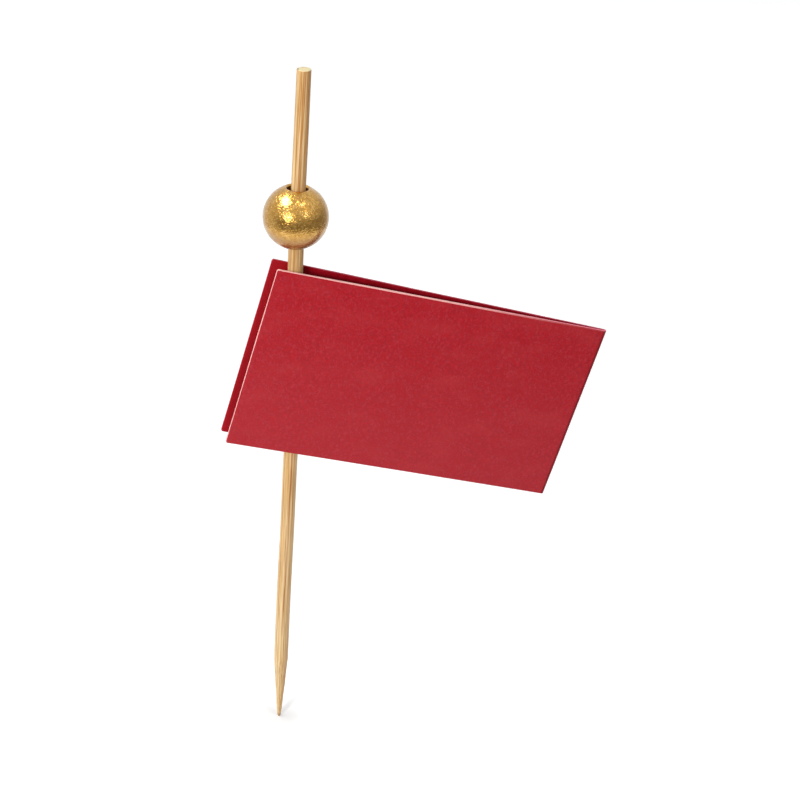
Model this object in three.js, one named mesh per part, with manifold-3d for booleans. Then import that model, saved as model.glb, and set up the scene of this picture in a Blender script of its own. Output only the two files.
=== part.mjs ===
// Flag pick: a bamboo skewer that carries a gold bead near its top and, below it, a flag of folded card.
// Millimetres, +Z up. The skewer stands on its point at the origin, the flag reaches along +X from the
// skewer to its fold, and the flag's front leaf faces -Y.

import * as THREE from "three";
import { mergeVertices } from "three/addons/utils/BufferGeometryUtils.js";
import Module from "manifold-3d";

const wasm = await Module();
wasm.setup();

// Skewer
const skewerLength = 120;
const skewerRadius = 1.125;
const taperLength = 13;
const tipRadius = 0.38;
const tipRound = 0.16;
const topChamfer = 0.08;

// Bead, held off the skewer's axis and leaning, by a ring of glue in its wide bore
const beadRadius = 5;
const beadBelowTop = 23.5; // from the skewer's top down to the bead's centre
const boreClearance = 0.55; // the bore's radius past the skewer's
const beadOffset = 0.2; // how far the bead's centre lies from the skewer's axis, towards -X
const boreMouthGap = 0.1; // between the skewer and the mouths of the leaning bore, where they are closest
const boreRound = 0.1; // rounding of the bore's two mouths
const beadGlueLength = 3;
const beadGlueInset = 0.6; // from the bore's lower mouth up to the glue

// Flag, one strip of card folded in half at its far end
const frontLeafLength = 55.4; // from the fold to the leaf's free end
const backLeafLength = 55.65;
const flagHeight = 31.6; // along the fold
const flagDroop = THREE.MathUtils.degToRad(13.62); // the flag's long edges slope down to the fold
const foldReach = 48.3; // from the skewer's axis to the fold, along the flag's middle
const beadToFlagGap = 3.8; // between the bead and the flag's top edge, along the skewer
const cardThickness = 0.35;
const foldInnerRadius = 0.05;
const seamGap = 0.12; // between the skewer and a leaf where they are closest, at the flag's lower edge

// Glue seams, one between the skewer and each leaf
const seamWidth = 1.8;
const seamInset = 2; // from the flag's edges to the seam's ends
const glueClearance = 0.03; // round every piece of glue

// Facets
const roundSegments = 48;
const beadSteps = 24;
const roundingSteps = 4;
const foldSteps = 8;

// Places that follow from the sizes above
const beadHeight = skewerLength - beadBelowTop;
const boreRadius = skewerRadius + boreClearance;
const boreHalfLength = Math.sqrt(beadRadius ** 2 - boreRadius ** 2);
const flagHalfOnSkewer = flagHeight / 2 / Math.cos(flagDroop); // half the skewer's stretch inside the flag
const flagCentreHeight = beadHeight - beadRadius - beadToFlagGap - flagHalfOnSkewer;
const foldOuterRadius = foldInnerRadius + cardThickness;
const bendCentre = foldReach - foldOuterRadius;

// The bead leans, its top towards +Y, until the mouths of its bore stand the named gap from the skewer.
const mouthReach = Math.sqrt((boreClearance - boreMouthGap) ** 2 - beadOffset ** 2);
const beadTilt = Math.atan(mouthReach / boreHalfLength);

// Each leaf opens from the bend by the angle at which it just clears the skewer at the flag's lower edge.
const closestReach = bendCentre - (Math.tan(flagDroop) * flagHeight) / 2;
const leafAngle = Math.asin((skewerRadius + seamGap - foldInnerRadius) / closestReach);

const bamboo = new THREE.MeshStandardMaterial({ color: 0xdcb478, roughness: 0.6, metalness: 0 });
const goldLacquer = new THREE.MeshStandardMaterial({ color: 0xc8a040, roughness: 0.3, metalness: 0.85 });
const crimsonCard = new THREE.MeshStandardMaterial({ color: 0xb42a34, roughness: 0.8, metalness: 0 });
const clearGlue = new THREE.MeshStandardMaterial({ color: 0xe9e2cd, roughness: 0.35, metalness: 0 });

// Points of an arc round (x, y), angles in radians, both ends included
function arcPoints(x, y, radius, from, to, steps) {
  return Array.from({ length: steps + 1 }, (_, i) => {
    const angle = from + ((to - from) * i) / steps;
    return new THREE.Vector2(x + radius * Math.cos(angle), y + radius * Math.sin(angle));
  });
}

// A profile of (radius, height) points turned round the Z axis
function turned(profile) {
  return new THREE.LatheGeometry(profile, roundSegments).rotateX(Math.PI / 2);
}

// A round bar along Z between two heights
function roundBar(radius, bottom, top) {
  return new THREE.CylinderGeometry(radius, radius, top - bottom, roundSegments)
    .rotateX(Math.PI / 2)
    .translate(0, 0, (bottom + top) / 2);
}

// A box between two corners, which may be given in either order
function boxBetween(a, b) {
  const box = new THREE.Box3().setFromPoints([a, b]);
  const size = box.getSize(new THREE.Vector3());
  const centre = box.getCenter(new THREE.Vector3());
  return new THREE.BoxGeometry(size.x, size.y, size.z).translate(centre.x, centre.y, centre.z);
}

// A closed geometry as a solid that can be cut
function toSolid(geometry) {
  const bare = geometry.clone();
  bare.deleteAttribute("normal");
  bare.deleteAttribute("uv");
  const merged = mergeVertices(bare);
  return new wasm.Manifold(
    new wasm.Mesh({
      numProp: 3,
      vertProperties: new Float32Array(merged.getAttribute("position").array),
      triVerts: new Uint32Array(merged.getIndex().array),
    }),
  );
}

// A cut solid as a geometry again
function toGeometry(solid) {
  const mesh = solid.getMesh();
  const geometry = new THREE.BufferGeometry();
  geometry.setAttribute("position", new THREE.BufferAttribute(new Float32Array(mesh.vertProperties), 3));
  geometry.setIndex(new THREE.BufferAttribute(new Uint32Array(mesh.triVerts), 1));
  geometry.computeVertexNormals();
  return geometry;
}

// The skewer with the glue's clearance round it, which every piece of glue is hollowed by
const skewerHollow = toSolid(roundBar(skewerRadius + glueClearance, 0, skewerLength));

// Round bamboo stick: flat top with its corner broken, straight shank, long taper to a blunt rounded point
function makeSkewer() {
  return turned([
    new THREE.Vector2(0, 0),
    ...arcPoints(tipRadius - tipRound, tipRound, tipRound, -Math.PI / 2, 0, roundingSteps),
    new THREE.Vector2(skewerRadius, taperLength),
    new THREE.Vector2(skewerRadius, skewerLength - topChamfer),
    new THREE.Vector2(skewerRadius - topChamfer, skewerLength),
    new THREE.Vector2(0, skewerLength),
  ]);
}

// Round bead with a straight bore, whose two mouths are rounded into the ball
function makeBead() {
  const roundRadius = boreRadius + boreRound;
  const roundHeight = Math.sqrt((beadRadius - boreRound) ** 2 - roundRadius ** 2);
  const roundAngle = Math.atan2(roundHeight, roundRadius);
  const profile = [
    ...arcPoints(0, 0, beadRadius, -roundAngle, roundAngle, beadSteps),
    ...arcPoints(roundRadius, roundHeight, boreRound, roundAngle, Math.PI, roundingSteps).slice(1),
    ...arcPoints(roundRadius, -roundHeight, boreRound, Math.PI, 2 * Math.PI - roundAngle, roundingSteps),
  ];
  profile[profile.length - 1].copy(profile[0]);
  return turned(profile);
}

// The bead's own frame: its centre, with the bore along Z
function makeBeadGroup() {
  const group = new THREE.Group();
  group.position.set(-beadOffset, 0, beadHeight);
  group.rotation.x = -beadTilt;
  group.updateMatrix();
  return group;
}

// Ring of set glue low in the bead's bore, thicker on the side where the bore stands off the skewer
function makeBeadGlue() {
  const bottom = beadGlueInset - boreHalfLength;
  const plug = roundBar(boreRadius - glueClearance, bottom, bottom + beadGlueLength);
  return toGeometry(toSolid(plug.applyMatrix4(makeBeadGroup().matrix)).subtract(skewerHollow));
}

// Folded strip of card seen from its top edge: two straight leaves that open from a tight bend
function makeFlagCard() {
  const leafPoint = (side, radius, run) =>
    new THREE.Vector2(
      bendCentre + radius * Math.sin(leafAngle) - run * Math.cos(leafAngle),
      side * (radius * Math.cos(leafAngle) + run * Math.sin(leafAngle)),
    );
  const frontRun = frontLeafLength - foldOuterRadius;
  const backRun = backLeafLength - foldOuterRadius;
  const bendAngle = Math.PI / 2 - leafAngle;
  const outline = new THREE.Shape([
    leafPoint(-1, foldOuterRadius, frontRun),
    ...arcPoints(bendCentre, 0, foldOuterRadius, -bendAngle, bendAngle, foldSteps),
    leafPoint(1, foldOuterRadius, backRun),
    leafPoint(1, foldInnerRadius, backRun),
    ...arcPoints(bendCentre, 0, foldInnerRadius, bendAngle, -bendAngle, foldSteps),
    leafPoint(-1, foldInnerRadius, frontRun),
  ]);
  return new THREE.ExtrudeGeometry(outline, { depth: flagHeight, bevelEnabled: false }).translate(
    0,
    0,
    -flagHeight / 2,
  );
}

// The flag's own frame: its middle on the skewer's axis, with X running down to the fold
function makeFlagGroup() {
  const group = new THREE.Group();
  group.position.z = flagCentreHeight;
  group.rotation.y = flagDroop;
  group.updateMatrix();
  return group;
}

// Seam of set glue that fills the hollow between the skewer and one leaf's inner face
function makeFlagGlue(side) {
  const reach = 2 * skewerRadius; // deep enough to run into the leaf
  const bottom = flagCentreHeight - flagHalfOnSkewer + seamInset;
  const top = flagCentreHeight + flagHalfOnSkewer - seamInset;
  const strip = boxBetween(
    new THREE.Vector3(-seamWidth / 2, 0, bottom),
    new THREE.Vector3(seamWidth / 2, side * reach, top),
  );
  const leafPlace = makeFlagGroup()
    .matrix.multiply(new THREE.Matrix4().makeTranslation(bendCentre, 0, 0))
    .multiply(new THREE.Matrix4().makeRotationZ(-side * leafAngle));
  const leafSpace = boxBetween(
    new THREE.Vector3(-frontLeafLength, side * (foldInnerRadius - glueClearance), -flagHeight),
    new THREE.Vector3(0, side * 2 * reach, flagHeight),
  ).applyMatrix4(leafPlace);
  return toGeometry(toSolid(strip).subtract(skewerHollow).subtract(toSolid(leafSpace)));
}

// A named piece in its parent's frame
function addPiece(parent, name, geometry, material) {
  const mesh = new THREE.Mesh(geometry, material);
  mesh.name = name;
  parent.add(mesh);
}

const flagPick = new THREE.Group();
addPiece(flagPick, "skewer", makeSkewer(), bamboo);

const beadGroup = makeBeadGroup();
addPiece(beadGroup, "bead", makeBead(), goldLacquer);
addPiece(flagPick, "bead_glue", makeBeadGlue(), clearGlue);

const flagGroup = makeFlagGroup();
addPiece(flagGroup, "flag_card", makeFlagCard(), crimsonCard);
addPiece(flagPick, "flag_glue_front", makeFlagGlue(-1), clearGlue);
addPiece(flagPick, "flag_glue_back", makeFlagGlue(1), clearGlue);
flagPick.add(beadGroup, flagGroup);

export default flagPick;
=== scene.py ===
import math
from collections import Counter

import bmesh
import bpy
from mathutils import Matrix, Vector


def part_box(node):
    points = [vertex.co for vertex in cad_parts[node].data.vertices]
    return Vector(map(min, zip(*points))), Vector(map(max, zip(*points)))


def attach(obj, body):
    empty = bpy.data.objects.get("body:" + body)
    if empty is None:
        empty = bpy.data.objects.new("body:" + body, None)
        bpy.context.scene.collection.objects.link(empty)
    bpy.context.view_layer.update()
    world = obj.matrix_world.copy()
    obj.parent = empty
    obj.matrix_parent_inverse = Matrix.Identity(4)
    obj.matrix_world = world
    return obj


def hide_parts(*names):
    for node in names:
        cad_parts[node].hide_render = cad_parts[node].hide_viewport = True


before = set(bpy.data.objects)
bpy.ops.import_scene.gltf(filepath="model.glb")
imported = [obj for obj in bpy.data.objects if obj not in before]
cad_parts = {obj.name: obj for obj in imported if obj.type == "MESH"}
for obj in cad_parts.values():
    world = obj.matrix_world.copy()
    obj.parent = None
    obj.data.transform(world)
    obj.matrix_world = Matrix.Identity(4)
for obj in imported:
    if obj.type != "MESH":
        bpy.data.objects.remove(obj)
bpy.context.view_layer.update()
mm = 0.001


# Camera. It looks down on the front of the flag from a little to the left, through a long lens,
# and is rolled by a few degrees, so that the stick leans as it does in the photograph.
view_azimuth = math.radians(-11.24)
view_elevation = math.radians(29.989)
view_roll = math.radians(4.017)
view_distance = 319.1 * mm
aim = Vector((17.012, -3.381, 65.657)) * mm
sensor_width = 36
lens_length = 90
near_clip = 10 * mm
far_clip = 40

bpy.ops.object.select_all(action="DESELECT")
bpy.ops.object.camera_add()
camera = bpy.context.object
camera.name = "studio_camera"
camera.data.sensor_width = sensor_width
camera.data.lens = lens_length
camera.data.clip_start = near_clip
camera.data.clip_end = far_clip
camera.matrix_world = (
    Matrix.Translation(aim)
    @ Matrix.Rotation(view_azimuth, 4, "Z")
    @ Matrix.Rotation(math.pi / 2 - view_elevation, 4, "X")
    @ Matrix.Rotation(view_roll, 4, "Z")
    @ Matrix.Translation((0, 0, view_distance))
)
bpy.context.scene.camera = camera
bpy.context.scene.view_settings.view_transform = "Standard"


# Table. The pick stands on its point on a wide sheet of white card. Where the card is seen, it glows
# as well as being lit, less round the point and more further off, so that it goes white all round
# and keeps only the soft shadow at the point. From below, the sheet is clear.
round_sides = 96
table_radius = 12
table_white = (0.86, 0.86, 0.86, 1)
seen_white = (0.85, 0.85, 0.85, 1)
# the glow of the card where it is seen: its rise round the point, and what is added far off
seen_glow = (0.17, 0.4)
glow_reach = (1 * mm, 7 * mm)
far_glow = 0.8
far_reach = (0.4, 3)


class Wire:
    """A socket of a shader tree. Sums and products of wires add their Math nodes to the tree."""

    def __init__(self, tree, socket=None):
        self.tree = tree
        self.socket = socket

    def node(self, kind, settings=None, sockets=None, output=0):
        """Adds a node: its settings come first, then the values or the wires of its sockets."""
        made = self.tree.nodes.new(kind)
        for name, value in (settings or {}).items():
            if name == "stops":
                stops = made.color_ramp.elements
                while len(stops) < len(value):
                    stops.new(1)
                for stop, (place, tint) in zip(stops, value):
                    stop.position = place
                    stop.color = tint
            else:
                setattr(made, name, value)
        for name, value in (sockets or {}).items():
            if isinstance(value, Wire):
                self.tree.links.new(value.socket, made.inputs[name])
            else:
                made.inputs[name].default_value = value
        return Wire(self.tree, made.outputs[output] if len(made.outputs) else None)

    def __getitem__(self, output):
        """Another output of the node that this wire comes from."""
        return Wire(self.tree, self.socket.node.outputs[output])

    def math(self, operation, *terms):
        """A Math node on wires and numbers."""
        return self.node("ShaderNodeMath", {"operation": operation}, dict(enumerate(terms)))

    def __add__(self, other):
        return self.math("ADD", self, other)

    def __radd__(self, other):
        return self.math("ADD", other, self)

    def __sub__(self, other):
        return self.math("SUBTRACT", self, other)

    def __rsub__(self, other):
        return self.math("SUBTRACT", other, self)

    def __mul__(self, other):
        return self.math("MULTIPLY", self, other)

    def __rmul__(self, other):
        return self.math("MULTIPLY", other, self)


def new_finish(name):
    """A new material with an empty tree, and the wire that its nodes start from."""
    material = bpy.data.materials.new(name)
    material.use_nodes = True
    material.node_tree.nodes.clear()
    return material, Wire(material.node_tree)


def between(value, low, high, start=0, end=1):
    """start below low, end above high, and a smooth step between them."""
    sockets = {"Value": value, "From Min": low, "From Max": high, "To Min": start, "To Max": end}
    return value.node("ShaderNodeMapRange", {"interpolation_type": "SMOOTHSTEP"}, sockets)


def seen_straight(wire):
    """1 for what the camera sees, by itself, in a gloss or through something clear, and else 0."""
    ray = wire.node("ShaderNodeLightPath", output="Is Camera Ray")
    return wire.math("MINIMUM", ray + ray["Is Glossy Ray"] + ray["Is Transmission Ray"], 1)


bpy.ops.object.select_all(action="DESELECT")
bpy.ops.mesh.primitive_circle_add(vertices=round_sides, radius=table_radius, fill_type="NGON")
table = bpy.context.object
table.name = "table"
table_card, wire = new_finish("table_card")
matt = wire.node("ShaderNodeBsdfDiffuse", None, {"Color": table_white})
shaded = wire.node("ShaderNodeBsdfDiffuse", None, {"Color": seen_white})
place = wire.node("ShaderNodeTexCoord", output="Object")
away = wire.node("ShaderNodeVectorMath", {"operation": "LENGTH"}, {0: place}, "Value")
lift = between(away, *glow_reach, *seen_glow) + between(away, *far_reach, 0, far_glow)
glow = wire.node("ShaderNodeEmission", None, {"Color": lift})
bright = wire.node("ShaderNodeAddShader", None, {0: shaded, 1: glow})
seen = wire.node("ShaderNodeMixShader", None, {0: seen_straight(wire), 1: matt, 2: bright})
below = wire.node("ShaderNodeNewGeometry", output="Backfacing")
clear = wire.node("ShaderNodeBsdfTransparent")
sheet = wire.node("ShaderNodeMixShader", None, {0: below, 1: seen, 2: clear})
wire.node("ShaderNodeOutputMaterial", None, {"Surface": sheet})
table.data.materials.append(table_card)


# Room and lamps. The room is pale, and white to the eye. Four lamps, over the left, at the left, in
# front and over the right, light what is matt. Four shines only put highlights on what is glossy.
room_light = 0.4
lamp_distance = 3
front_lamp_distance = 200 * mm
front_shine_distance = 140 * mm
lamp_aim = Vector((0, 0, 96)) * mm
white = (1, 1, 1, 1)

world = bpy.data.worlds.new("pale_room")
bpy.context.scene.world = world
world.use_nodes = True
world.node_tree.nodes.clear()
wire = Wire(world.node_tree)
dim_room = wire.node("ShaderNodeBackground", None, {"Color": white, "Strength": room_light})
white_room = wire.node("ShaderNodeBackground", None, {"Color": white, "Strength": 1})
room = wire.node("ShaderNodeMixShader", None, {0: seen_straight(wire), 1: dim_room, 2: white_room})
wire.node("ShaderNodeOutputWorld", None, {"Surface": room})


def add_lamp(name, lights, azimuth, elevation, width, radiance, distance=lamp_distance, flat=1):
    """A lamp that faces the bead and lights only what is "matt", or only what is "glossy".

    Azimuth 0 is in front of the flag, and 90 to its right. From the bead, the lamp is so many
    degrees wide, and flat times as high.
    """
    a, e = math.radians(azimuth), math.radians(elevation)
    place = Vector((math.sin(a) * math.cos(e), -math.cos(a) * math.cos(e), math.sin(e)))
    bpy.ops.object.light_add(type="AREA", location=lamp_aim + distance * place)
    lamp = bpy.context.object
    lamp.name = name
    lamp.rotation_euler = place.to_track_quat("Z", "Y").to_euler()
    lamp.visible_camera = False
    lamp.visible_diffuse = lights == "matt"
    lamp.visible_glossy = lights == "glossy"
    lamp.data.shape = "ELLIPSE"
    lamp.data.size = 2 * distance * math.tan(math.radians(width / 2))
    lamp.data.size_y = flat * lamp.data.size
    area = math.pi * lamp.data.size * lamp.data.size_y / 4
    lamp.data.energy = radiance * math.pi * area


add_lamp("lamp_over_left", "matt", -108, 53, 50, 0.9)
add_lamp("lamp_left", "matt", -85, 36, 60, 0.9)
add_lamp("lamp_front_left", "matt", -35, 19, 11, 65, distance=front_lamp_distance)
add_lamp("lamp_over_right", "matt", 34, 63, 9, 14)
add_lamp("shine_over_left", "glossy", -95, 57, 39, 14, flat=0.55)
add_lamp("shine_front_left", "glossy", -36, 19, 29, 7, distance=front_shine_distance, flat=0.6)
add_lamp("shine_over_right", "glossy", 34, 62, 11, 10)
add_lamp("shine_front_right", "glossy", 36, 29, 10, 5, distance=front_shine_distance)


# Room walls. They are never seen themselves: the bead's gloss shows them. They are dim in front and
# to the right, and go paler towards the back and the top.
wall_radius = 160 * mm
wall_height = 190 * mm
wall_dark = (0.35, 0.34, 0.33, 1)
wall_pale = (0.92, 0.92, 0.92, 1)
wall_facing = math.radians(22)
# where the dimness fades, as shares of the height from the floor, and of the radius to the front
dim_heights = (0.4, 1.05)
dim_ahead = (-0.8, 0.3)


def coordinate(place, axis):
    """The X, Y or Z of a place by itself."""
    return place.node("ShaderNodeSeparateXYZ", None, {0: place}, axis)


def blend(share, first, second):
    """Mixes two colours: a share of 1 gives the second."""
    return share.node("ShaderNodeMix", {"data_type": "RGBA"}, {0: share, 6: first, 7: second}, 2)


bpy.ops.mesh.primitive_cylinder_add(
    vertices=round_sides,
    radius=wall_radius,
    depth=wall_height,
    location=(0, 0, wall_height / 2),
    end_fill_type="NOTHING",
)
walls = bpy.context.object
walls.name = "room_walls"
walls.visible_camera = False
walls.visible_diffuse = False
walls.visible_transmission = False
walls.visible_shadow = False
wall_paint, wire = new_finish("wall_paint")
place = wire.node("ShaderNodeTexCoord", output="Object")
height = coordinate(place, "Z") * (1 / wall_height) + 0.5
right = coordinate(place, "X") * (math.sin(wall_facing) / wall_radius)
ahead = right - coordinate(place, "Y") * (math.cos(wall_facing) / wall_radius)
dim = between(height, *dim_heights, 1, 0) * between(ahead, *dim_ahead)
wall_light = wire.node("ShaderNodeEmission", None, {"Color": blend(dim, wall_pale, wall_dark)})
wire.node("ShaderNodeOutputMaterial", None, {"Surface": wall_light})
walls.data.materials.append(wall_paint)


# Stick. It is a round rod of bamboo, sawn flat at the top and ground to a long blunt point.
# Its fibres stand a little proud along it, and it bows slightly, as split bamboo does.
skewer_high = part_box("skewer")[1]
skewer_length = skewer_high.z
skewer_radius = skewer_high.x
top_chamfer = 0.1 * mm
top_insets = 5
inset_width = 0.16 * skewer_radius
saw_slope = 0.34 * mm
ring_step = 0.8 * mm
fibre_cell = (0.3 * mm, 0.3 * mm, 15 * mm)
fibre_depth = 0.05 * mm
# how far up a normal has to point on a face that looks up
upward = 0.99
# every 10 mm, from the point up: how far the stick strays to the right in millimetres, and how
# thick it is beside its nominal radius
stray = [-0.02, -0.05, -0.04, 0.03, 0.15, 0.19, 0.25, 0.10, -0.08, -0.165, -0.155, -0.065, 0.0]
girth = [1.0, 1.09, 1.08, 1.06, 1.035, 1.04, 1.05, 1.04, 1.05, 1.08, 1.0, 0.98, 0.955]
# the grinding of the point: heights and radii in millimetres
point_rings = [
    (0, 0.07),
    (0.03, 0.15),
    (0.1, 0.21),
    (0.3, 0.27),
    (0.8, 0.345),
    (2.7, 0.5),
    (7.95, 0.84),
    (9.3, 0.9),
    (12.9, 1.13),
    (20, 1.7),
    (130, 12),
]
ground_height = 21 * mm
ground_cuts = 6
ground_cell = (0.9 * mm, 0.9 * mm, 7 * mm)
ground_depth = 0.05 * mm
merge_reach = 0.003 * mm
cleaning_rounds = 3


def pick(piece):
    """Selects one piece alone and makes it the active one."""
    bpy.ops.object.select_all(action="DESELECT")
    piece.select_set(True)
    bpy.context.view_layer.objects.active = piece


def edit(piece, kind="FACE"):
    """Opens one piece alone in edit mode, with nothing selected."""
    pick(piece)
    bpy.ops.object.mode_set(mode="EDIT")
    bpy.ops.mesh.select_mode(type=kind)
    bpy.ops.mesh.select_all(action="DESELECT")


def leave_edit():
    bpy.ops.object.mode_set(mode="OBJECT")


def pick_edges(piece, test):
    """Selects the edges whose two end points pass the test."""
    mesh = bmesh.from_edit_mesh(piece.data)
    for edge in mesh.edges:
        edge.select_set(test(edge.verts[0].co, edge.verts[1].co))
    bmesh.update_edit_mesh(piece.data)


def pick_faces(piece, test):
    """Selects the faces whose middle and normal pass the test."""
    mesh = bmesh.from_edit_mesh(piece.data)
    for face in mesh.faces:
        face.select_set(test(face.calc_center_median(), face.normal))
    bmesh.update_edit_mesh(piece.data)


def settle(piece):
    """Puts the piece's place into its mesh, so that its object sits at the origin."""
    pick(piece)
    bpy.ops.object.transform_apply(location=True, rotation=True, scale=True)


def remove(*helpers):
    for helper in helpers:
        bpy.data.objects.remove(helper)


def use_modifier(piece, kind, **settings):
    """Adds a modifier and applies it at once."""
    modifier = piece.modifiers.new(kind.lower(), kind)
    for name, value in settings.items():
        setattr(modifier, name, value)
    pick(piece)
    bpy.ops.object.modifier_apply(modifier=modifier.name)


def roughen(piece, cell, depth, detail=2):
    """Raises and lowers the surface in soft lumps. cell is a lump's size along X, Y and Z."""
    lumps = bpy.data.textures.new("lumps", "CLOUDS")
    lumps.noise_scale = 1
    lumps.noise_depth = detail
    bpy.ops.object.empty_add()
    grid = bpy.context.object
    grid.scale = cell
    bpy.context.view_layer.update()
    use_modifier(
        piece,
        "DISPLACE",
        texture=lumps,
        texture_coords="OBJECT",
        texture_coords_object=grid,
        strength=depth,
        mid_level=0.5,
    )
    remove(grid)


def cut_clean(piece, way, cutter):
    """Cuts a piece with another, and takes out the slivers and flaps that the cut leaves."""
    use_modifier(piece, "BOOLEAN", operation=way, object=cutter, solver="EXACT")
    edit(piece, "VERT")
    bpy.ops.mesh.select_all(action="SELECT")
    bpy.ops.mesh.remove_doubles(threshold=merge_reach)
    bpy.ops.mesh.dissolve_degenerate(threshold=merge_reach)
    bpy.ops.mesh.quads_convert_to_tris(quad_method="BEAUTY", ngon_method="BEAUTY")
    bpy.ops.mesh.select_mode(type="FACE")
    for _ in range(cleaning_rounds):
        mesh = bmesh.from_edit_mesh(piece.data)
        shared = Counter(frozenset(face.verts) for face in mesh.faces)
        for face in mesh.faces:
            flap = sum(edge.is_boundary for edge in face.edges) > 1
            face.select_set(flap or shared[frozenset(face.verts)] > 1)
        bmesh.update_edit_mesh(piece.data)
        bpy.ops.mesh.delete(type="FACE")
    leave_edit()


def reshape(piece, low, high, levels, moved):
    """Bends a piece with a cage between two corners. moved gives each cage point its new place."""
    size = high - low
    bpy.ops.object.add(type="LATTICE", location=(low + high) / 2)
    cage = bpy.context.object
    cage.data.points_w = levels
    cage.data.interpolation_type_w = "KEY_CATMULL_ROM"
    cage.scale = size
    level_points = len(cage.data.points) // levels
    # the cage counts its own points from -0.5 to 0.5 each way
    for number, point in enumerate(cage.data.points):
        place = low + size * (point.co_deform + Vector((0.5, 0.5, 0.5)))
        new = moved(place, number // level_points)
        point.co_deform = Vector((new - low)[i] / size[i] - 0.5 for i in range(3))
    bpy.context.view_layer.update()
    use_modifier(piece, "LATTICE", object=cage)
    remove(cage)


bpy.ops.object.select_all(action="DESELECT")
bpy.ops.mesh.primitive_cylinder_add(
    vertices=round_sides,
    radius=skewer_radius,
    depth=skewer_length,
    location=(0, 0, skewer_length / 2),
    end_fill_type="NGON",
)
stick = bpy.context.object
stick.name = "bamboo_stick"
settle(stick)
edit(stick, "EDGE")
pick_edges(stick, lambda a, b: min(a.z, b.z) > skewer_length - mm)
bpy.ops.mesh.bevel(offset=top_chamfer, segments=3)
bpy.ops.mesh.select_all(action="DESELECT")
pick_edges(stick, lambda a, b: abs(a.z - b.z) > mm)
bpy.ops.mesh.subdivide(number_cuts=round(skewer_length / ring_step))
bpy.ops.mesh.select_mode(type="FACE")
pick_faces(stick, lambda middle, normal: normal.z > upward)
for _ in range(top_insets):
    bpy.ops.mesh.inset(thickness=inset_width)
leave_edit()
roughen(stick, fibre_cell, fibre_depth)

# the point is ground by a cone that the rod is turned in
bpy.ops.mesh.primitive_circle_add(
    vertices=round_sides, radius=point_rings[0][1] * mm, fill_type="NGON"
)
grinder = bpy.context.object
edit(grinder)
bpy.ops.mesh.select_all(action="SELECT")
for (low, narrow), (high, wide) in zip(point_rings, point_rings[1:]):
    bpy.ops.mesh.extrude_region_move(TRANSFORM_OT_translate={"value": (0, 0, (high - low) * mm)})
    share = wide / narrow
    bpy.ops.transform.resize(value=(share, share, 1), center_override=(0, 0, high * mm))
bpy.ops.mesh.select_mode(type="EDGE")
bpy.ops.mesh.select_all(action="DESELECT")
pick_edges(grinder, lambda a, b: abs(a.z - b.z) > mm and max(a.z, b.z) < ground_height)
bpy.ops.mesh.subdivide(number_cuts=ground_cuts)
bpy.ops.mesh.select_all(action="SELECT")
bpy.ops.mesh.normals_make_consistent(inside=False)
leave_edit()
roughen(grinder, ground_cell, ground_depth)
cut_clean(stick, "INTERSECT", grinder)
remove(grinder)
# the straight grain is kept with the mesh, and then the stick gets its bend
grain = stick.data.attributes.new("straight_grain", "FLOAT_VECTOR", "POINT")
for vertex, place in zip(stick.data.vertices, grain.data):
    place.vector = vertex.co


def bent(place, level):
    """Where the bend takes a cage point. The top is cut at a slope, with its near side higher."""
    raised = saw_slope if level == len(stray) - 1 and place.y < 0 else 0
    x = place.x * girth[level] + stray[level] * mm
    return Vector((x, place.y * girth[level], place.z + raised))


cage_half = 2 * skewer_radius
bend_cage = Vector((-cage_half, -cage_half, 0)), Vector((cage_half, cage_half, skewer_length))
reshape(stick, *bend_cage, len(stray), bent)


def smooth(piece, angle):
    """Shades the piece smooth, but for edges that are sharper than the angle in degrees."""
    pick(piece)
    bpy.ops.object.shade_smooth_by_angle(angle=math.radians(angle))


smooth(stick, 35)


def paint(red, green, blue):
    """A colour given as it looks on a screen, 0 to 255, as the linear colour that a shader takes."""
    shares = [value / 255 for value in (red, green, blue)]
    return tuple(s / 12.92 if s <= 0.04045 else ((s + 0.055) / 1.055) ** 2.4 for s in shares) + (1,)


straw_tones = (
    (0.36, paint(198, 150, 88)),
    (0.45, paint(217, 173, 110)),
    (0.53, paint(229, 191, 133)),
    (0.64, paint(240, 209, 158)),
)
ripe_straw = paint(212, 162, 94)
browner_top_straw = paint(188, 144, 80)
vein_brown = paint(150, 96, 48)
bundle_brown = paint(174, 106, 32)
cream = paint(250, 228, 182)
thread_brown = paint(160, 104, 46)
dash_brown = paint(150, 98, 44)
sawn_cream = paint(255, 238, 186)
rim_brown = paint(172, 138, 92)
tip_brown = paint(140, 88, 40)
# the bundles of fibres that show in front, in millimetres: from one place across the stick and its
# height to another, half a bundle's width, and how much browner it is (below zero, how much paler).
# The three that start at -4 make the point paler at its left and browner at its right, and the
# last is no bundle but a broad pale patch of painted light just above the flag
fibres_and_painted_light = [
    ((0.18, 22), (0.34, 58), 0.15, 1),
    ((0.02, 95), (0.28, 121), 0.2, 0.85),
    ((-0.80, -4), (-0.80, 24), 0.3, -0.35),
    ((0.5, -4), (0.8, 13), 0.4, 0.35),
    ((-0.24, 8), (-0.10, 44), 0.14, -0.45),
    ((0.52, 30), (0.52, 58), 0.09, -0.2),
    ((-0.84, 94), (-0.84, 121), 0.13, -0.45),
    ((-0.32, 98), (-0.24, 110), 0.12, -0.35),
    ((0.53, 98), (0.53, 121), 0.08, -0.25),
    ((-0.38, 106), (-0.38, 121), 0.2, 0.4),
    ((0.86, 98), (0.86, 121), 0.24, 0.5),
    ((0.78, 5), (0.86, 56), 0.25, 0.35),
    ((-0.98, 6), (-0.98, 62), 0.14, -0.4),
    ((-0.3, -4), (-0.4, 12), 0.34, -0.4),
    # no bundle: a broad pale patch of painted light on the stick just above the flag
    ((-0.3, 79), (-0.3, 86), 0.9, -0.8),
]
# over how many millimetres each way a bundle fades at its ends
bundle_fade = 3


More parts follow.
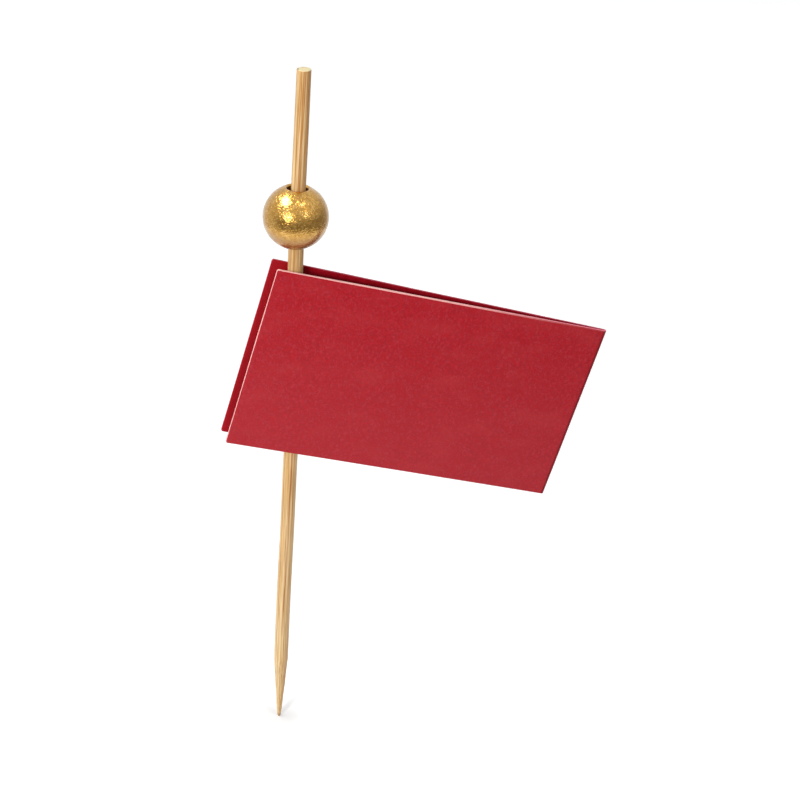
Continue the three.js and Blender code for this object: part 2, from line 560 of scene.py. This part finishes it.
def steps(place, scale, moved=(0, 0, 0)):
    """A place, moved, and counted in steps of the given size."""
    counts = tuple(1 / size for size in scale)
    shifted = place.node("ShaderNodeVectorMath", {"operation": "SUBTRACT"}, {0: place, 1: moved})
    return place.node("ShaderNodeVectorMath", {"operation": "MULTIPLY"}, {0: shifted, 1: counts})


def speckle(place, detail=2, rough=0.5, twist=0):
    """Soft noise from 0 to 1, whose cells are one step of the place wide."""
    sockets = {"Vector": place, "Scale": 1, "Detail": detail, "Roughness": rough, "Distortion": twist}
    return place.node("ShaderNodeTexNoise", None, sockets)


def ramp(value, tones):
    """A colour for each value: the tones are (value, colour)."""
    return value.node("ShaderNodeValToRGB", {"stops": tones}, {0: value})


def bumped(relief, strength, depth):
    """The normal of a surface with a relief of so many millimetres."""
    sockets = {"Strength": strength, "Distance": depth * mm, "Height": relief}
    return relief.node("ShaderNodeBump", None, sockets)


def finish_off(wire, sockets):
    """Ends a tree in one Principled shader."""
    shader = wire.node("ShaderNodeBsdfPrincipled", None, sockets)
    wire.node("ShaderNodeOutputMaterial", None, {"Surface": shader})


def dress(piece, finish):
    """Gives a piece one material and no other."""
    piece.data.materials.clear()
    piece.data.materials.append(finish)


bamboo, wire = new_finish("bamboo")
fibre_place = wire.node("ShaderNodeAttribute", {"attribute_name": "straight_grain"}, None, "Vector")


def along_grain(across, length, moved=(0, 0, 0)):
    """Places along the fibres, in cells of the given size in millimetres."""
    cell = (across * mm, across * mm, length * mm)
    return steps(fibre_place, cell, tuple(v * mm for v in moved))


here = along_grain(1, 1)
height = coordinate(here, "Z")
ahead = coordinate(here, "Y")
across = coordinate(here, "X") * math.cos(view_azimuth) + ahead * math.sin(view_azimuth)
facing = between(ahead, -0.1, 0.2, 1, 0)
strands = speckle(along_grain(0.34, 110), detail=3, rough=0.65)
threads = speckle(along_grain(0.16, 14, (5, 0, 0)), rough=0.6)
slivers = speckle(along_grain(0.18, 20, (0, 7, 0)), rough=0.6)
dashes = speckle(along_grain(0.12, 7, (2, 5, 0)), detail=1)
drift = speckle(along_grain(1.3, 60, (9, 4, 0)))
fade = speckle(along_grain(0.5, 14, (3, 3, 0)))
ragged = speckle(along_grain(0.25, 0.4))
# broad tones: the straw drifts from pale to ripe, and is darker and browner towards the top
straw = ramp(strands, straw_tones)
colour = blend(between(drift, 0.4, 0.62) * 0.3, straw, ripe_straw)
colour = blend(between(height, 50, 108, 0.04, 0.72), colour, browner_top_straw)
# veins, pale slivers, the bundles in front, and a patch of painted light above the flag
veins = wire.node("ShaderNodeTexVoronoi", None, {"Vector": along_grain(0.62, 90), "Scale": 1})
colour = blend(between(veins, 0.10, 0.24, 1, 0) * 0.34, colour, vein_brown)
colour = blend(between(slivers, 0.52, 0.66) * 0.4, colour, cream)
for (near, low), (far, high), width, tone in fibres_and_painted_light:
    line = (height - low) * ((far - near) / (high - low)) + near
    gap = wire.math("ABSOLUTE", across - line) + threads * 0.5 - 0.25
    shown = between(gap, 0.5 * width, 1.2 * width, 1, 0) * facing
    shown = shown * between(height, low - bundle_fade, low + bundle_fade)
    shown = shown * between(height, high - bundle_fade, high + bundle_fade, 1, 0)
    shown = shown * between(fade, 0.32, 0.55, 0.6, 1)
    colour = blend(shown * abs(tone), colour, bundle_brown if tone > 0 else cream)
# fine threads and dashes, fainter where the point is ground
unground = between(height, 5, 16, 0.3, 1)
colour = blend(between(threads, 0.51, 0.66) * unground * 0.55, colour, thread_brown)
colour = blend(between(dashes, 0.52, 0.64) * unground * 0.45, colour, dash_brown)
colour = blend(between(dashes, 0.36, 0.48, 1, 0) * unground * 0.25, colour, cream)
# the fresh wood of the sawn end, with its browner rim, and the browner tip
top = skewer_length / mm
sawn = between(height, top - 0.07, top - 0.035)
colour = blend(sawn, colour, sawn_cream)
outer = wire.math("MAXIMUM", ahead, across * -1.05)
rim = between(outer + ragged * 0.35, 0.96, 1.12) * sawn
colour = blend(rim * 0.8, colour, rim_brown)
colour = blend(between(height, 0.1, 1.2, 1, 0) * 0.6, colour, tip_brown)
finish_off(
    wire,
    {
        "Base Color": colour,
        "Roughness": between(strands, 0.3, 0.7, 0.45, 0.6),
        "Normal": bumped(strands * 0.4 + threads * -0.3 + slivers * 0.3, 0.6, 0.04),
        "Specular IOR Level": 0.45,
    },
)
dress(stick, bamboo)
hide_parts("skewer")
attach(stick, "root")


# Bead. It is a turned wooden ball with a wide drilled bore, dipped in gold lacquer, which has set
# in a fine crinkle and in a thick lip round each mouth of the bore. The bore's wood is bare.
bead_low, bead_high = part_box("bead")
lacquer_swell = 1.01
bead_radius = lacquer_swell * (bead_high.x - bead_low.x) / 2
bead_stray = -0.19 * mm
bead_height = 96.5 * mm
bead_centre = Vector(((bead_low.x + bead_high.x) / 2 + bead_stray, 0, bead_height))
bead_lean = math.radians(1.9)
bead_tilt = math.radians(-4.2)
bead_segments = 160
bead_rings = 96
bore_radius = 1.64 * mm
bore_cuts = 12
lip_radius = 2.12 * mm
lip_height = math.sqrt(bead_radius**2 - lip_radius**2)
# radius of the upper lip, radius of the lower, and rise past the ball, in millimetres
lip_profile = [
    (2.04, 2.07, 0.035),
    (1.96, 2.01, 0.06),
    (1.86, 1.95, 0.05),
    (1.74, 1.88, 0),
    (1.66, 1.82, -0.1),
    (1.62, 1.78, -0.25),
    (1.64, 1.74, -0.5),
    (1.64, 1.71, -0.7),
    (1.64, 1.7, -0.9),
]
# the lacquer ends this far inside the mouths, and the bare faces lie this near the bore's radius
lacquer_depth = 0.7 * mm
bare_reach = 0.06 * mm
swell_cell = (1.1 * mm,) * 3
swell_depth = 0.035 * mm
gold_tones = (
    (0.36, paint(182, 133, 54)),
    (0.5, paint(198, 151, 69)),
    (0.64, paint(214, 171, 94)),
)
cloud_gold = paint(186, 136, 52)
# painted shade low on the ball, and a painted reflection of the red flag round its foot
painted_shade_gold = paint(152, 116, 78)
painted_flag_reflection_gold = paint(184, 128, 56)
wood_tones = ((0.3, paint(104, 54, 20)), (0.7, paint(156, 92, 40)))


def cube(side):
    """A cell that is as deep and high as it is wide. Its side is given in millimetres."""
    return (side * mm,) * 3


def draw_ring(piece, side, radius, height):
    """Draws the open ring at one end of a turned piece in to a radius and a height."""
    bpy.ops.mesh.select_mode(type="EDGE")
    mesh = bmesh.from_edit_mesh(piece.data)
    for edge in mesh.edges:
        edge.select_set(edge.is_boundary and side * edge.verts[0].co.z > 0)
    bmesh.update_edit_mesh(piece.data)
    ring = next(v.co for v in mesh.verts if v.select)
    rise = (0, 0, side * height - ring.z)
    bpy.ops.mesh.extrude_edges_move(TRANSFORM_OT_translate={"value": rise})
    scale = radius / ring.xy.length
    bpy.ops.transform.resize(value=(scale, scale, 1), center_override=(0, 0, side * height))


bpy.ops.object.select_all(action="DESELECT")
bpy.ops.mesh.primitive_uv_sphere_add(
    segments=bead_segments, ring_count=bead_rings, radius=bead_radius
)
bead = bpy.context.object
bead.name = "gold_bead"
edit(bead)
pick_faces(bead, lambda middle, normal: abs(middle.z) > lip_height)
bpy.ops.mesh.delete(type="FACE")
for upper, lower, rise in lip_profile:
    draw_ring(bead, 1, upper * mm, lip_height + rise * mm)
    draw_ring(bead, -1, lower * mm, lip_height + rise * mm)
bpy.ops.mesh.select_all(action="DESELECT")
mesh = bmesh.from_edit_mesh(bead.data)
for edge in mesh.edges:
    edge.select_set(edge.is_boundary)
bmesh.update_edit_mesh(bead.data)
bpy.ops.mesh.bridge_edge_loops(number_cuts=bore_cuts)
bpy.ops.mesh.select_all(action="SELECT")
bpy.ops.mesh.normals_make_consistent(inside=False)
leave_edit()
roughen(bead, swell_cell, swell_depth, detail=1)
bead.rotation_euler = (bead_tilt, bead_lean, 0)
bead.location = bead_centre
settle(bead)
smooth(bead, 60)


def placed(wire, cell, moved=(0, 0, 0)):
    """The piece's own coordinates in steps of the given size."""
    return steps(wire.node("ShaderNodeTexCoord", output="Object"), cell, moved)


gold, wire = new_finish("gold_lacquer")
crinkle = speckle(placed(wire, cube(0.4)), detail=1.5, twist=1.2)
cloud = speckle(placed(wire, cube(1.5), (2 * mm, 0, 0)), detail=3)
# the height on the ball, from -1 at its foot to 1. Low down, the gold is darker, as painted shade,
# and a little rougher; round its foot it has less metal and coat and an orange tint, as a painted
# reflection of the red flag
drop = coordinate(placed(wire, (bead_radius,) * 3, bead_centre), "Z")
low = between(drop, -0.6, -0.1, 1, 0)
painted_reflection_under = between(drop, -0.7, -0.3, 1, 0)
leaf = ramp(crinkle, gold_tones)
leaf = blend(between(cloud, 0.4, 0.7) * 0.4, leaf, cloud_gold)
# painted shade low down, then the painted reflection of the flag round the foot
leaf = blend(low * 0.8, leaf, painted_shade_gold)
leaf = blend(painted_reflection_under * 0.7, leaf, painted_flag_reflection_gold)
finish_off(
    wire,
    {
        "Base Color": leaf,
        "Metallic": 0.94 - painted_reflection_under * 0.26,
        "Roughness": between(cloud, 0.35, 0.65, 0.1, 0.15) + low * 0.1,
        "IOR": 1.45,
        "Normal": bumped(crinkle, 1, 0.062),
        "Coat Weight": 0.5 - painted_reflection_under * 0.4,
        "Coat Roughness": 0.1,
    },
)
dress(bead, gold)

raw_wood, wire = new_finish("raw_wood")
dust = speckle(placed(wire, (0.3 * mm, 0.3 * mm, 1.5 * mm)))
finish_off(wire, {"Base Color": ramp(dust, wood_tones), "Roughness": 0.8})
bead.data.materials.append(raw_wood)
axis = Matrix.Rotation(bead_lean, 3, "Y") @ Matrix.Rotation(bead_tilt, 3, "X") @ Vector((0, 0, 1))


def in_bore(middle, normal):
    """Whether a face lies in the bare part of the bore."""
    out = middle - bead_centre
    along = out.dot(axis)
    near_wall = (out - axis * along).length < bore_radius + bare_reach
    return near_wall and abs(along) < lip_height - lacquer_depth


edit(bead)
pick_faces(bead, in_bore)
bead.active_material_index = 1
bpy.ops.object.material_slot_assign()
leave_edit()
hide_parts("bead")
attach(bead, "root")


# Flag. It is one strip of card, printed crimson on both faces and creased across its middle, so that
# its two leaves lie along each other with the stick between them. Its cut edges show the pale core.
flag_droop = math.radians(13.62)
flag_height = 31.6 * mm
flag_centre = 71.443 * mm
front_leaf = 55.4 * mm
back_leaf = 55.85 * mm
card_thickness = 0.35 * mm
fold_centre = 47.9 * mm
fold_radius = 0.225 * mm
fold_steps = 12
leaf_angle = math.radians(1.5538)
card_grid = 0.5 * mm
corner_round = 0.3 * mm
edge_round = 0.035 * mm
wave_cell = (14 * mm,) * 3
wave_depth = 0.07 * mm
nap_cell = (0.9 * mm,) * 3
nap_depth = 0.008 * mm
# the strip isn't cut quite square: its lower edge rises a little, and its folded end is taller
foot_rise = 0.07 * mm
fold_growth = Vector((0.05, 0, 0.2)) * mm
end_margin = 2 * mm
side_margin = 3 * mm

fold_outer = fold_radius + card_thickness / 2
front_run = front_leaf - fold_outer
back_run = back_leaf - fold_outer
front_end = fold_centre - front_run
start_x = fold_centre + fold_radius * math.sin(leaf_angle)
start_y = -fold_radius * math.cos(leaf_angle)
front_start = Vector((start_x, start_y, 0))
front_along = Vector((-math.cos(leaf_angle), -math.sin(leaf_angle), 0))
back_along = Vector((-math.cos(leaf_angle), math.sin(leaf_angle), 0))

ink_tones = ((0.38, paint(177, 8, 25)), (0.5, paint(178, 22, 37)), (0.62, paint(176, 39, 51)))
pore_red = paint(150, 14, 29)
cloud_red = paint(184, 50, 54)
# painted light at the foot and painted shade at the fold; the pale pink is wear and painted highlight
painted_light_foot_red = paint(192, 74, 80)
fold_shade_red = paint(132, 6, 24)
wear_and_highlight_pink = paint(255, 186, 180)
core_tones = ((0.36, paint(255, 176, 172)), (0.6, paint(255, 208, 202)))
far_core = paint(255, 122, 148)
# the back leaf's edges and the foot's edge, darkened with painted shade
painted_shade_back_core = paint(188, 66, 92)
painted_shade_foot_core = paint(110, 22, 30)
# the inner faces, darkened with painted shade, and paler near the open end with painted light
painted_shade_inside_tones = ((0.36, paint(142, 5, 18)), (0.64, paint(160, 14, 32)))
painted_light_open_red = paint(174, 30, 38)

bpy.ops.object.select_all(action="DESELECT")
bpy.ops.mesh.primitive_plane_add(size=1)
card = bpy.context.object
card.name = "crimson_flag"
card.scale = (front_run, flag_height, 1)
card.rotation_euler = (math.pi / 2, 0, leaf_angle)
card.location = front_start + front_along * front_run / 2
settle(card)
edit(card, "EDGE")
pick_edges(card, lambda a, b: min(a.x, b.x) > fold_centre - mm)
bpy.ops.mesh.spin(
    steps=fold_steps,
    angle=math.pi - 2 * leaf_angle,
    center=(fold_centre, 0, 0),
    axis=(0, 0, -1),
)
bpy.ops.mesh.extrude_region_move(TRANSFORM_OT_translate={"value": back_along * back_run})
pick_edges(card, lambda a, b: abs(a.z - b.z) > mm)
bpy.ops.mesh.subdivide(number_cuts=round(flag_height / card_grid) - 1)
pick_edges(card, lambda a, b: abs(a.x - b.x) > mm)
bpy.ops.mesh.subdivide(number_cuts=round(front_run / card_grid) - 1)
# the four corners are the points where only two edges meet
bpy.ops.mesh.select_mode(type="VERT")
bpy.ops.mesh.select_all(action="DESELECT")
mesh = bmesh.from_edit_mesh(card.data)
for vertex in mesh.verts:
    vertex.select_set(len(vertex.link_edges) == 2)
bmesh.update_edit_mesh(card.data)
bpy.ops.mesh.bevel(affect="VERTICES", offset=corner_round, segments=3)
bpy.ops.mesh.select_all(action="SELECT")
bpy.ops.mesh.normals_make_consistent(inside=False)
leave_edit()


def add_slot(piece, name):
    """A material with an empty tree on the piece's next slot, and the wire to start it from."""
    material, wire = new_finish(name)
    piece.data.materials.append(material)
    return wire


def on_flag(wire, cell=(mm, mm, mm)):
    """Places on the level flag: X runs to the fold, Z up it, and Y from front leaf to back."""
    place = wire.node("ShaderNodeTexCoord", output="Object")
    centre = (0, 0, flag_centre)
    lifted = wire.node("ShaderNodeVectorMath", {"operation": "SUBTRACT"}, {0: place, 1: centre})
    level = wire.node(
        "ShaderNodeVectorRotate",
        {"rotation_type": "EULER_XYZ"},
        {"Vector": lifted, "Rotation": (0, -flag_droop, 0)},
    )
    return steps(level, cell)


half_height = flag_height / mm / 2
fold_end = fold_centre / mm
open_end = front_end / mm

# the printed outer faces. Painted light makes them paler towards the foot, and painted shade darker
# along the fold. The front leaf's top edge and open end are paler, partly as wear and partly as a
# painted highlight
wire = add_slot(card, "crimson_print")
flat = on_flag(wire)
along = coordinate(flat, "X")
up = coordinate(flat, "Z")
front = between(coordinate(flat, "Y"), -0.2, 0.2, 1, 0)
grain = speckle(placed(wire, (0.5 * mm, 0.5 * mm, 0.7 * mm)), detail=3, rough=0.6)
pores = speckle(placed(wire, cube(0.3)))
clouds = speckle(on_flag(wire, (8 * mm, 8 * mm, 4 * mm)), detail=3)
frayed = speckle(placed(wire, cube(0.35)))
ink = ramp(grain, ink_tones)
ink = blend(between(pores, 0.38, 0.62) * 0.6, ink, pore_red)
ink = blend(between(clouds, 0.45, 0.75) * 0.3, ink, cloud_red)
# painted light: the print grows paler towards the foot
ink = blend(between(up, -half_height, half_height, 0.2, 0), ink, painted_light_foot_red)
# painted shade: darker along the fold
ink = blend(between(along, fold_end - 0.22, fold_end + 0.06) * 0.95, ink, fold_shade_red)
# the front leaf's scuffed edges, which are also a painted highlight
end_wear_and_highlight = between(along + frayed * 0.1, open_end + 0.04, open_end + 0.18, 1, 0)
top_wear_and_highlight = between(up - frayed * 0.06, half_height - 0.15, half_height - 0.07)
top_wear_and_highlight = top_wear_and_highlight * (1 - between(along, 16, 46) * 0.95)
wear_and_highlight = wire.math("MAXIMUM", end_wear_and_highlight, top_wear_and_highlight)
ink = blend(wear_and_highlight * front * 0.95, ink, wear_and_highlight_pink)
finish_off(
    wire,
    {
        "Base Color": ink,
        "Roughness": between(grain, 0.3, 0.7, 0.66, 0.8),
        "Normal": bumped(grain * 0.5 + pores * 0.5, 0.6, 0.03),
        "Specular IOR Level": 0.25,
    },
)

# the core in the cut edges, redder towards the fold; on the back leaf and along the foot it is
# darkened with painted shade
wire = add_slot(card, "card_core")
flat = on_flag(wire)
far = between(coordinate(flat, "X"), 14, 47)
back_leaf_shade = between(coordinate(flat, "Y"), -0.1, 0.3)
below = between(coordinate(flat, "Z"), 0.01 - half_height, 0.2 - half_height, 1, 0)
core = ramp(speckle(placed(wire, cube(0.3)), detail=3), core_tones)
core = blend(far * 0.9, core, far_core)
# painted shade on the back leaf's edges and along the foot
core = blend(back_leaf_shade * 0.9, core, painted_shade_back_core)
core = blend(below * 0.85, core, painted_shade_foot_core)
finish_off(wire, {"Base Color": core, "Roughness": 0.85, "Specular IOR Level": 0.2})

# the inner faces, darkened with painted shade, and paler near the open end with painted light
wire = add_slot(card, "crimson_inside")
grain = speckle(placed(wire, cube(0.75)), detail=3, rough=0.65)
# painted light near the open end
painted_light_open_end = between(coordinate(on_flag(wire), "X"), -6, -3.5, 1, 0)
finish_off(
    wire,
    {
        "Base Color": blend(painted_light_open_end * 0.6, ramp(grain, painted_shade_inside_tones), painted_light_open_red),
        "Roughness": 0.85,
        "Normal": bumped(grain, 0.5, 0.03),
        "Specular IOR Level": 0.08,
    },
)

use_modifier(
    card,
    "SOLIDIFY",
    thickness=card_thickness,
    offset=0,
    material_offset=2,
    material_offset_rim=1,
)
use_modifier(
    card,
    "BEVEL",
    width=edge_round,
    segments=2,
    limit_method="ANGLE",
    angle_limit=math.radians(60),
)
roughen(card, wave_cell, wave_depth, detail=1)
roughen(card, nap_cell, nap_depth)


def cut(place, level):
    """Where the uneven cutting of the strip takes a cage point."""
    if level == 0:
        return place + Vector((0, 0, foot_rise))
    return place + fold_growth if place.x > 0 else place


cut_low = Vector((front_end - end_margin, -side_margin, -flag_height / 2))
cut_high = Vector((fold_centre + fold_outer, side_margin, flag_height / 2))
reshape(card, cut_low, cut_high, 2, cut)
card.rotation_euler = (0, flag_droop, 0)
card.location = (0, 0, flag_centre)
settle(card)
smooth(card, 50)
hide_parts("flag_card")
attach(card, "root")


# Glue in the bead. Clear craft glue, set hard, fills the bore round the stick for a few millimetres.
# Its two faces are drawn up along the walls.
glue_low, glue_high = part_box("bead_glue")
glue_gap = 0.02 * mm
ring_radius = bore_radius - glue_gap
ring_recess = 0.3 * mm
ring_length = glue_high.z - glue_low.z - ring_recess
ring_sides = 64
# each face sinks by these shares of the meniscus, ring by ring from the wall in
meniscus = 0.35 * mm
meniscus_ring = 0.1 * mm
sinks = (0.55, 0.3, 0.1)
glue_tones = ((0.3, paint(216, 184, 130)), (0.7, paint(238, 214, 166)))
bubble_white = paint(250, 246, 232)


def swollen(piece, gap):
    """A copy of a piece whose surface stands off the piece by a gap, to cut its neighbours with."""
    pick(piece)
    bpy.ops.object.duplicate()
    cutter = bpy.context.object
    use_modifier(cutter, "DISPLACE", strength=gap, mid_level=0)
    return cutter


bpy.ops.mesh.primitive_cylinder_add(
    vertices=ring_sides, radius=ring_radius, depth=ring_length, end_fill_type="NGON"
)
ring = bpy.context.object
ring.name = "bead_glue_ring"
edit(ring)
for side in (1, -1):
    bpy.ops.mesh.select_all(action="DESELECT")
    pick_faces(ring, lambda middle, normal: normal.z * side > upward)
    for sink in sinks:
        bpy.ops.mesh.inset(thickness=meniscus_ring)
        bpy.ops.transform.translate(value=(0, 0, -side * sink * meniscus))
leave_edit()
ring.rotation_euler = (bead_tilt, bead_lean, 0)
ring.location = bead_centre + axis * ((glue_low.z + glue_high.z) / 2 - bead_centre.z)
settle(ring)
stick_cutter = swollen(stick, glue_gap)
cut_clean(ring, "DIFFERENCE", stick_cutter)
smooth(ring, 40)

glue, wire = new_finish("clear_glue")
cloudy = speckle(placed(wire, cube(0.7)), detail=3)
bubbles = wire.node("ShaderNodeTexVoronoi", None, {"Vector": placed(wire, cube(0.4)), "Scale": 1})
bubble = between(bubbles, 0.08, 0.16, 1, 0)
finish_off(
    wire,
    {
        "Base Color": blend(bubble * 0.5, ramp(cloudy, glue_tones), bubble_white),
        "Roughness": between(cloudy, 0.3, 0.7, 0.22, 0.38),
        "Normal": bumped(cloudy * 0.8 + bubble * 0.2, 0.4, 0.06),
        "Coat Weight": 0.5,
        "Coat Roughness": 0.1,
    },
)
dress(ring, glue)
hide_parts("bead_glue")
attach(ring, "root")


# Glue in the flag. A line of the same glue runs down each side of the stick and holds one leaf. It
# has been pressed flat by the leaf, and its edges have crept out unevenly.
seam_reach = 1.46 * mm
seam_round = 0.7 * mm
seam_cuts = 60
creep_cell = (1.6 * mm, 40 * mm, 2.2 * mm)
creep_depth = 0.16 * mm

card_cutter = swollen(card, glue_gap)
for side, node in ((-1, "flag_glue_front"), (1, "flag_glue_back")):
    seam_low, seam_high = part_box(node)
    bpy.ops.mesh.primitive_cube_add(size=1)
    seam = bpy.context.object
    seam.name = node.replace("glue", "seam")
    seam.scale = (seam_high.x - seam_low.x, seam_reach, seam_high.z - seam_low.z)
    seam.location = (0, side * seam_reach / 2, (seam_low.z + seam_high.z) / 2)
    settle(seam)
    edit(seam, "EDGE")
    pick_edges(seam, lambda a, b: abs(a.y - b.y) > 0.1 * mm)
    bpy.ops.mesh.bevel(offset=seam_round, segments=6)
    bpy.ops.mesh.select_all(action="DESELECT")
    pick_edges(seam, lambda a, b: abs(a.z - b.z) > 5 * mm)
    bpy.ops.mesh.subdivide(number_cuts=seam_cuts)
    leave_edit()
    roughen(seam, creep_cell, creep_depth)
    reshape(seam, *bend_cage, len(stray), bent)
    cut_clean(seam, "DIFFERENCE", card_cutter)
    cut_clean(seam, "DIFFERENCE", stick_cutter)
    smooth(seam, 40)
    dress(seam, glue)
    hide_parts(node)
    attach(seam, "root")
remove(stick_cutter, card_cutter)
